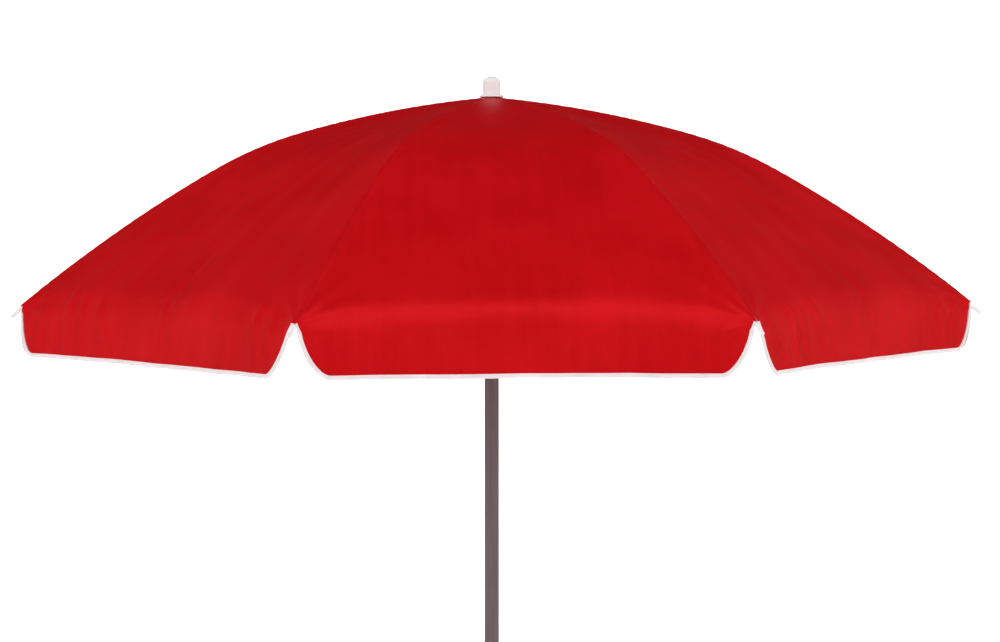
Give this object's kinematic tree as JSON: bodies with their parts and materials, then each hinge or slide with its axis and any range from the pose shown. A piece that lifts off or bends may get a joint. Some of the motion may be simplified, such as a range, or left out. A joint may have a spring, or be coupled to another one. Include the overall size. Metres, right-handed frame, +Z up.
{
  "type": "beach umbrella",
  "caption": "Folding beach umbrella: ribbed cloth canopy with a scalloped valance, on a telescoping pole with a ground spike and height clamp.",
  "frame": {"origin": "point of the ground spike, on the pole's axis", "axes": "+Z up along the pole; -Y is the middle of the front gore; ribs at 22.5 degrees and every 45 degrees from +X; clamp knob on the +X side"},
  "size_m": [1.5252, 1.5252, 2.0654],
  "materials": {
    "red_cloth": "coated woven polyester, satin",
    "white_tape": "woven bias tape, matt",
    "white_plastic": "moulded, semi-gloss",
    "black_plastic": "moulded, fine grain",
    "pole_paint": "powder coat, semi-gloss",
    "zinc_steel": "bright zinc plating"
  },
  "bodies": {
    "lower_pole": {"ground_spike": "black_plastic", "lower_pole": "pole_paint", "pole_collar": "black_plastic", "clamp_nut": "zinc_steel"},
    "clamp_screw": {"clamp_stud": "zinc_steel", "clamp_knob": "black_plastic"},
    "upper_pole": {"upper_pole": "pole_paint", "pole_plug": "black_plastic", "top_hub": "white_plastic", "hub_ring": "zinc_steel", "crown_patch": "red_cloth", "finial": "white_plastic"},
    "catch": {"catch": "zinc_steel"},
    "runner": {"runner": "white_plastic", "runner_ring": "zinc_steel"},
    "rib_1": {"rib_1": "zinc_steel"},
    "rib_tip_1": {"rib_tip_1": "white_plastic"},
    "stretcher_1": {"stretcher_1": "zinc_steel"},
    "gore_1_left": {"gore_1_left": "red_cloth"},
    "gore_1_right": {"gore_1_right": "red_cloth"},
    "rib_2": {"rib_2": "zinc_steel"},
    "rib_tip_2": {"rib_tip_2": "white_plastic"},
    "stretcher_2": {"stretcher_2": "zinc_steel"},
    "gore_2_left": {"gore_2_left": "red_cloth"},
    "gore_2_right": {"gore_2_right": "red_cloth"},
    "rib_3": {"rib_3": "zinc_steel"},
    "rib_tip_3": {"rib_tip_3": "white_plastic"},
    "stretcher_3": {"stretcher_3": "zinc_steel"},
    "gore_3_left": {"gore_3_left": "red_cloth"},
    "gore_3_right": {"gore_3_right": "red_cloth"},
    "rib_4": {"rib_4": "zinc_steel"},
    "rib_tip_4": {"rib_tip_4": "white_plastic"},
    "stretcher_4": {"stretcher_4": "zinc_steel"},
    "gore_4_left": {"gore_4_left": "red_cloth"},
    "gore_4_right": {"gore_4_right": "red_cloth"},
    "rib_5": {"rib_5": "zinc_steel"},
    "rib_tip_5": {"rib_tip_5": "white_plastic"},
    "stretcher_5": {"stretcher_5": "zinc_steel"},
    "gore_5_left": {"gore_5_left": "red_cloth"},
    "gore_5_right": {"gore_5_right": "red_cloth"},
    "rib_6": {"rib_6": "zinc_steel"},
    "rib_tip_6": {"rib_tip_6": "white_plastic"},
    "stretcher_6": {"stretcher_6": "zinc_steel"},
    "gore_6_left": {"gore_6_left": "red_cloth"},
    "gore_6_right": {"gore_6_right": "red_cloth"},
    "rib_7": {"rib_7": "zinc_steel"},
    "rib_tip_7": {"rib_tip_7": "white_plastic"},
    "stretcher_7": {"stretcher_7": "zinc_steel"},
    "gore_7_left": {"gore_7_left": "red_cloth"},
    "gore_7_right": {"gore_7_right": "red_cloth"},
    "rib_8": {"rib_8": "zinc_steel"},
    "rib_tip_8": {"rib_tip_8": "white_plastic"},
    "stretcher_8": {"stretcher_8": "zinc_steel"},
    "gore_8_left": {"gore_8_left": "red_cloth"},
    "gore_8_right": {"gore_8_right": "red_cloth"}
  },
  "joints": [
    {"name": "clamp_screw_turn", "type": "hinge", "parent": "lower_pole", "child": "clamp_screw", "pos_m": [0.03, 0, 0.915], "axis": [1, 0, 0], "range_deg": [0, 360]},
    {"name": "height_slide", "type": "slide", "parent": "lower_pole", "child": "upper_pole", "axis": [0, 0, 1], "range_m": [-0.1, 0.05]},
    {"name": "catch_press", "type": "slide", "parent": "upper_pole", "child": "catch", "axis": [0, -1, 0], "range_m": [0, 0.005], "stiffness_N_per_m": 800, "springref_m": -0.002},
    {"name": "runner_slide", "type": "slide", "parent": "upper_pole", "child": "runner", "axis": [0, 0, -1], "range_m": [0, 0.4783]},
    {"name": "rib_1_fold", "type": "hinge", "parent": "upper_pole", "child": "rib_1", "pos_m": [0.01663, 0.00689, 2.02215], "axis": [-0.3827, 0.9239, 0], "range_deg": [0, 77.16]},
    {"name": "rib_1_flex", "type": "hinge", "parent": "rib_1", "child": "rib_tip_1", "pos_m": [0.37266, 0.15436, 1.94045], "axis": [0.3827, -0.9239, 0], "range_deg": [0, 19.42], "deforming": ["rib_1"]},
    {"name": "stretcher_1_fold", "type": "hinge", "parent": "rib_1", "child": "stretcher_1", "pos_m": [0.3483, 0.14427, 1.94244], "axis": [0.3827, -0.9239, 0], "range_deg": [0, 133.27]},
    {"name": "gore_1_left_pleat", "type": "hinge", "parent": "rib_1", "child": "gore_1_left", "pos_m": [0.02217, 0.00918, 2.0275], "axis": [0.9342, 0.1926, -0.3004], "range_deg": [0, 55.85], "deforming": ["gore_1_left"]},
    {"name": "gore_1_right_pleat", "type": "hinge", "parent": "rib_1", "child": "gore_1_right", "pos_m": [0.02217, 0.00918, 2.0275], "axis": [-0.7967, -0.5244, 0.3004], "range_deg": [0, 55.85], "deforming": ["gore_1_right"]},
    {"name": "rib_2_fold", "type": "hinge", "parent": "upper_pole", "child": "rib_2", "pos_m": [0.00689, 0.01663, 2.02215], "axis": [-0.9239, 0.3827, 0], "range_deg": [0, 77.16]},
    {"name": "rib_2_flex", "type": "hinge", "parent": "rib_2", "child": "rib_tip_2", "pos_m": [0.15436, 0.37266, 1.94045], "axis": [0.9239, -0.3827, 0], "range_deg": [0, 19.42], "deforming": ["rib_2"]},
    {"name": "stretcher_2_fold", "type": "hinge", "parent": "rib_2", "child": "stretcher_2", "pos_m": [0.14427, 0.3483, 1.94244], "axis": [0.9239, -0.3827, 0], "range_deg": [0, 133.27]},
    {"name": "gore_2_left_pleat", "type": "hinge", "parent": "rib_2", "child": "gore_2_left", "pos_m": [0.00918, 0.02217, 2.0275], "axis": [0.5244, 0.7967, -0.3004], "range_deg": [0, 55.85], "deforming": ["gore_2_left"]},
    {"name": "gore_2_right_pleat", "type": "hinge", "parent": "rib_2", "child": "gore_2_right", "pos_m": [0.00918, 0.02217, 2.0275], "axis": [-0.1926, -0.9342, 0.3004], "range_deg": [0, 55.85], "deforming": ["gore_2_right"]},
    {"name": "rib_3_fold", "type": "hinge", "parent": "upper_pole", "child": "rib_3", "pos_m": [-0.00689, 0.01663, 2.02215], "axis": [-0.9239, -0.3827, 0], "range_deg": [0, 77.16]},
    {"name": "rib_3_flex", "type": "hinge", "parent": "rib_3", "child": "rib_tip_3", "pos_m": [-0.15436, 0.37266, 1.94045], "axis": [0.9239, 0.3827, 0], "range_deg": [0, 19.42], "deforming": ["rib_3"]},
    {"name": "stretcher_3_fold", "type": "hinge", "parent": "rib_3", "child": "stretcher_3", "pos_m": [-0.14427, 0.3483, 1.94244], "axis": [0.9239, 0.3827, 0], "range_deg": [0, 133.27]},
    {"name": "gore_3_left_pleat", "type": "hinge", "parent": "rib_3", "child": "gore_3_left", "pos_m": [-0.00918, 0.02217, 2.0275], "axis": [-0.1926, 0.9342, -0.3004], "range_deg": [0, 55.85], "deforming": ["gore_3_left"]},
    {"name": "gore_3_right_pleat", "type": "hinge", "parent": "rib_3", "child": "gore_3_right", "pos_m": [-0.00918, 0.02217, 2.0275], "axis": [0.5244, -0.7967, 0.3004], "range_deg": [0, 55.85], "deforming": ["gore_3_right"]},
    {"name": "rib_4_fold", "type": "hinge", "parent": "upper_pole", "child": "rib_4", "pos_m": [-0.01663, 0.00689, 2.02215], "axis": [-0.3827, -0.9239, 0], "range_deg": [0, 77.16]},
    {"name": "rib_4_flex", "type": "hinge", "parent": "rib_4", "child": "rib_tip_4", "pos_m": [-0.37266, 0.15436, 1.94045], "axis": [0.3827, 0.9239, 0], "range_deg": [0, 19.42], "deforming": ["rib_4"]},
    {"name": "stretcher_4_fold", "type": "hinge", "parent": "rib_4", "child": "stretcher_4", "pos_m": [-0.3483, 0.14427, 1.94244], "axis": [0.3827, 0.9239, 0], "range_deg": [0, 133.27]},
    {"name": "gore_4_left_pleat", "type": "hinge", "parent": "rib_4", "child": "gore_4_left", "pos_m": [-0.02217, 0.00918, 2.0275], "axis": [-0.7967, 0.5244, -0.3004], "range_deg": [0, 55.85], "deforming": ["gore_4_left"]},
    {"name": "gore_4_right_pleat", "type": "hinge", "parent": "rib_4", "child": "gore_4_right", "pos_m": [-0.02217, 0.00918, 2.0275], "axis": [0.9342, -0.1926, 0.3004], "range_deg": [0, 55.85], "deforming": ["gore_4_right"]},
    {"name": "rib_5_fold", "type": "hinge", "parent": "upper_pole", "child": "rib_5", "pos_m": [-0.01663, -0.00689, 2.02215], "axis": [0.3827, -0.9239, 0], "range_deg": [0, 77.16]},
    {"name": "rib_5_flex", "type": "hinge", "parent": "rib_5", "child": "rib_tip_5", "pos_m": [-0.37266, -0.15436, 1.94045], "axis": [-0.3827, 0.9239, 0], "range_deg": [0, 19.42], "deforming": ["rib_5"]},
    {"name": "stretcher_5_fold", "type": "hinge", "parent": "rib_5", "child": "stretcher_5", "pos_m": [-0.3483, -0.14427, 1.94244], "axis": [-0.3827, 0.9239, 0], "range_deg": [0, 133.27]},
    {"name": "gore_5_left_pleat", "type": "hinge", "parent": "rib_5", "child": "gore_5_left", "pos_m": [-0.02217, -0.00918, 2.0275], "axis": [-0.9342, -0.1926, -0.3004], "range_deg": [0, 55.85], "deforming": ["gore_5_left"]},
    {"name": "gore_5_right_pleat", "type": "hinge", "parent": "rib_5", "child": "gore_5_right", "pos_m": [-0.02217, -0.00918, 2.0275], "axis": [0.7967, 0.5244, 0.3004], "range_deg": [0, 55.85], "deforming": ["gore_5_right"]},
    {"name": "rib_6_fold", "type": "hinge", "parent": "upper_pole", "child": "rib_6", "pos_m": [-0.00689, -0.01663, 2.02215], "axis": [0.9239, -0.3827, 0], "range_deg": [0, 77.16]},
    {"name": "rib_6_flex", "type": "hinge", "parent": "rib_6", "child": "rib_tip_6", "pos_m": [-0.15436, -0.37266, 1.94045], "axis": [-0.9239, 0.3827, 0], "range_deg": [0, 19.42], "deforming": ["rib_6"]},
    {"name": "stretcher_6_fold", "type": "hinge", "parent": "rib_6", "child": "stretcher_6", "pos_m": [-0.14427, -0.3483, 1.94244], "axis": [-0.9239, 0.3827, 0], "range_deg": [0, 133.27]},
    {"name": "gore_6_left_pleat", "type": "hinge", "parent": "rib_6", "child": "gore_6_left", "pos_m": [-0.00918, -0.02217, 2.0275], "axis": [-0.5244, -0.7967, -0.3004], "range_deg": [0, 55.85], "deforming": ["gore_6_left"]},
    {"name": "gore_6_right_pleat", "type": "hinge", "parent": "rib_6", "child": "gore_6_right", "pos_m": [-0.00918, -0.02217, 2.0275], "axis": [0.1926, 0.9342, 0.3004], "range_deg": [0, 55.85], "deforming": ["gore_6_right"]},
    {"name": "rib_7_fold", "type": "hinge", "parent": "upper_pole", "child": "rib_7", "pos_m": [0.00689, -0.01663, 2.02215], "axis": [0.9239, 0.3827, 0], "range_deg": [0, 77.16]},
    {"name": "rib_7_flex", "type": "hinge", "parent": "rib_7", "child": "rib_tip_7", "pos_m": [0.15436, -0.37266, 1.94045], "axis": [-0.9239, -0.3827, 0], "range_deg": [0, 19.42], "deforming": ["rib_7"]},
    {"name": "stretcher_7_fold", "type": "hinge", "parent": "rib_7", "child": "stretcher_7", "pos_m": [0.14427, -0.3483, 1.94244], "axis": [-0.9239, -0.3827, 0], "range_deg": [0, 133.27]},
    {"name": "gore_7_left_pleat", "type": "hinge", "parent": "rib_7", "child": "gore_7_left", "pos_m": [0.00918, -0.02217, 2.0275], "axis": [0.1926, -0.9342, -0.3004], "range_deg": [0, 55.85], "deforming": ["gore_7_left"]},
    {"name": "gore_7_right_pleat", "type": "hinge", "parent": "rib_7", "child": "gore_7_right", "pos_m": [0.00918, -0.02217, 2.0275], "axis": [-0.5244, 0.7967, 0.3004], "range_deg": [0, 55.85], "deforming": ["gore_7_right"]},
    {"name": "rib_8_fold", "type": "hinge", "parent": "upper_pole", "child": "rib_8", "pos_m": [0.01663, -0.00689, 2.02215], "axis": [0.3827, 0.9239, 0], "range_deg": [0, 77.16]},
    {"name": "rib_8_flex", "type": "hinge", "parent": "rib_8", "child": "rib_tip_8", "pos_m": [0.37266, -0.15436, 1.94045], "axis": [-0.3827, -0.9239, 0], "range_deg": [0, 19.42], "deforming": ["rib_8"]},
    {"name": "stretcher_8_fold", "type": "hinge", "parent": "rib_8", "child": "stretcher_8", "pos_m": [0.3483, -0.14427, 1.94244], "axis": [-0.3827, -0.9239, 0], "range_deg": [0, 133.27]},
    {"name": "gore_8_left_pleat", "type": "hinge", "parent": "rib_8", "child": "gore_8_left", "pos_m": [0.02217, -0.00918, 2.0275], "axis": [0.7967, -0.5244, -0.3004], "range_deg": [0, 55.85], "deforming": ["gore_8_left"]},
    {"name": "gore_8_right_pleat", "type": "hinge", "parent": "rib_8", "child": "gore_8_right", "pos_m": [0.02217, -0.00918, 2.0275], "axis": [-0.9342, 0.1926, 0.3004], "range_deg": [0, 55.85], "deforming": ["gore_8_right"]}
  ],
  "couplings": [
    {"joint": "rib_1_fold", "follows": "runner_slide", "rad_per_m": 2.8155},
    {"joint": "rib_1_flex", "follows": "runner_slide", "rad_per_m": 0.70868},
    {"joint": "stretcher_1_fold", "follows": "runner_slide", "rad_per_m": 4.863},
    {"joint": "gore_1_left_pleat", "follows": "runner_slide", "rad_per_m": 2.0378},
    {"joint": "gore_1_right_pleat", "follows": "runner_slide", "rad_per_m": 2.0378},
    {"joint": "rib_2_fold", "follows": "runner_slide", "rad_per_m": 2.8155},
    {"joint": "rib_2_flex", "follows": "runner_slide", "rad_per_m": 0.70868},
    {"joint": "stretcher_2_fold", "follows": "runner_slide", "rad_per_m": 4.863},
    {"joint": "gore_2_left_pleat", "follows": "runner_slide", "rad_per_m": 2.0378},
    {"joint": "gore_2_right_pleat", "follows": "runner_slide", "rad_per_m": 2.0378},
    {"joint": "rib_3_fold", "follows": "runner_slide", "rad_per_m": 2.8155},
    {"joint": "rib_3_flex", "follows": "runner_slide", "rad_per_m": 0.70868},
    {"joint": "stretcher_3_fold", "follows": "runner_slide", "rad_per_m": 4.863},
    {"joint": "gore_3_left_pleat", "follows": "runner_slide", "rad_per_m": 2.0378},
    {"joint": "gore_3_right_pleat", "follows": "runner_slide", "rad_per_m": 2.0378},
    {"joint": "rib_4_fold", "follows": "runner_slide", "rad_per_m": 2.8155},
    {"joint": "rib_4_flex", "follows": "runner_slide", "rad_per_m": 0.70868},
    {"joint": "stretcher_4_fold", "follows": "runner_slide", "rad_per_m": 4.863},
    {"joint": "gore_4_left_pleat", "follows": "runner_slide", "rad_per_m": 2.0378},
    {"joint": "gore_4_right_pleat", "follows": "runner_slide", "rad_per_m": 2.0378},
    {"joint": "rib_5_fold", "follows": "runner_slide", "rad_per_m": 2.8155},
    {"joint": "rib_5_flex", "follows": "runner_slide", "rad_per_m": 0.70868},
    {"joint": "stretcher_5_fold", "follows": "runner_slide", "rad_per_m": 4.863},
    {"joint": "gore_5_left_pleat", "follows": "runner_slide", "rad_per_m": 2.0378},
    {"joint": "gore_5_right_pleat", "follows": "runner_slide", "rad_per_m": 2.0378},
    {"joint": "rib_6_fold", "follows": "runner_slide", "rad_per_m": 2.8155},
    {"joint": "rib_6_flex", "follows": "runner_slide", "rad_per_m": 0.70868},
    {"joint": "stretcher_6_fold", "follows": "runner_slide", "rad_per_m": 4.863},
    {"joint": "gore_6_left_pleat", "follows": "runner_slide", "rad_per_m": 2.0378},
    {"joint": "gore_6_right_pleat", "follows": "runner_slide", "rad_per_m": 2.0378},
    {"joint": "rib_7_fold", "follows": "runner_slide", "rad_per_m": 2.8155},
    {"joint": "rib_7_flex", "follows": "runner_slide", "rad_per_m": 0.70868},
    {"joint": "stretcher_7_fold", "follows": "runner_slide", "rad_per_m": 4.863},
    {"joint": "gore_7_left_pleat", "follows": "runner_slide", "rad_per_m": 2.0378},
    {"joint": "gore_7_right_pleat", "follows": "runner_slide", "rad_per_m": 2.0378},
    {"joint": "rib_8_fold", "follows": "runner_slide", "rad_per_m": 2.8155},
    {"joint": "rib_8_flex", "follows": "runner_slide", "rad_per_m": 0.70868},
    {"joint": "stretcher_8_fold", "follows": "runner_slide", "rad_per_m": 4.863},
    {"joint": "gore_8_left_pleat", "follows": "runner_slide", "rad_per_m": 2.0378},
    {"joint": "gore_8_right_pleat", "follows": "runner_slide", "rad_per_m": 2.0378}
  ]
}
